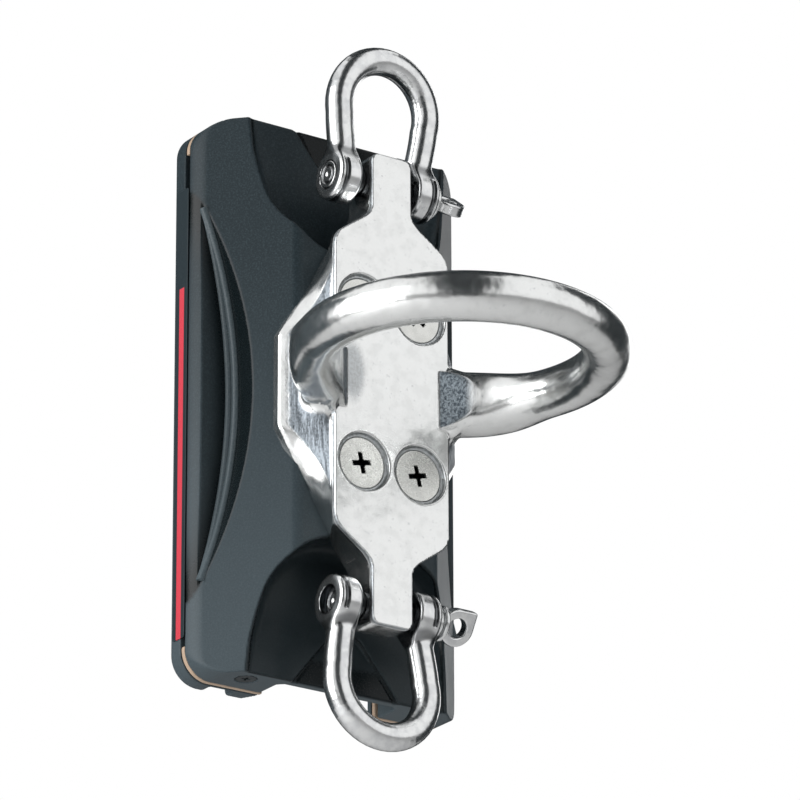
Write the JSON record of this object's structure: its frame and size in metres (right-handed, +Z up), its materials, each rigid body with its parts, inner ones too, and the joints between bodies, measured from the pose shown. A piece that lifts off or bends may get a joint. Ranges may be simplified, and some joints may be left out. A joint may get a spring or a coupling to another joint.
{
  "type": "spinnaker pole car",
  "caption": "Mast track car with a sculpted ball-bearing housing, a one-piece ring plate for the pole end and a bow shackle at each end.",
  "frame": {"origin": "middle of the face of the housing that runs over the crown of the track, half-way along the car", "axes": "+Z up along the track, +X to the right seen from the front, -Y away from the mast, out through the ring"},
  "size_m": [0.0722, 0.0959, 0.1602],
  "materials": {
    "anodised": "black hard anodising over a fine bead-blasted surface",
    "cover": "black hard anodising, satin",
    "guide": "tan moulded plastic, matt",
    "ball": "dark bearing plastic, satin",
    "cast_steel": "cast stainless steel, mirror polished, as cast on the slopes of the wings",
    "screw_steel": "stainless steel, bright",
    "shackle_steel": "forged stainless steel, polished",
    "label": "printed film, black with a red stripe"
  },
  "bodies": {
    "car": {"housing": "anodised", "race_cover_right": "cover", "race_cover_left": "cover", "ball_guide_top_right": "guide", "ball_guide_top_left": "guide", "ball_guide_bottom_right": "guide", "ball_guide_bottom_left": "guide", "balls_right": "ball", "balls_left": "ball", "ring_plate": "cast_steel", "side_label_left": "label", "plate_screw_lower_left": "screw_steel", "end_screw_lower_left": "screw_steel", "plate_screw_lower_right": "screw_steel", "end_screw_lower_right": "screw_steel", "plate_screw_upper_left": "screw_steel", "end_screw_upper_left": "screw_steel", "plate_screw_upper_right": "screw_steel", "end_screw_upper_right": "screw_steel", "cover_screw_lower_left": "screw_steel", "cover_screw_lower_right": "screw_steel", "cover_screw_middle_left": "screw_steel", "cover_screw_middle_right": "screw_steel", "cover_screw_upper_left": "screw_steel", "cover_screw_upper_right": "screw_steel"},
    "upper_shackle": {"upper_bow": "shackle_steel", "upper_pin": "shackle_steel"},
    "lower_shackle": {"lower_bow": "shackle_steel", "lower_pin": "shackle_steel"}
  },
  "joints": [
    {"name": "upper_shackle_swing", "type": "hinge", "parent": "car", "child": "upper_shackle", "pos_m": [0, -0.0151, 0.04856], "axis": [1, 0, 0], "range_deg": [-30, 135]},
    {"name": "lower_shackle_swing", "type": "hinge", "parent": "car", "child": "lower_shackle", "pos_m": [0, -0.0151, -0.04856], "axis": [1, 0, 0], "range_deg": [-130, 35]}
  ]
}
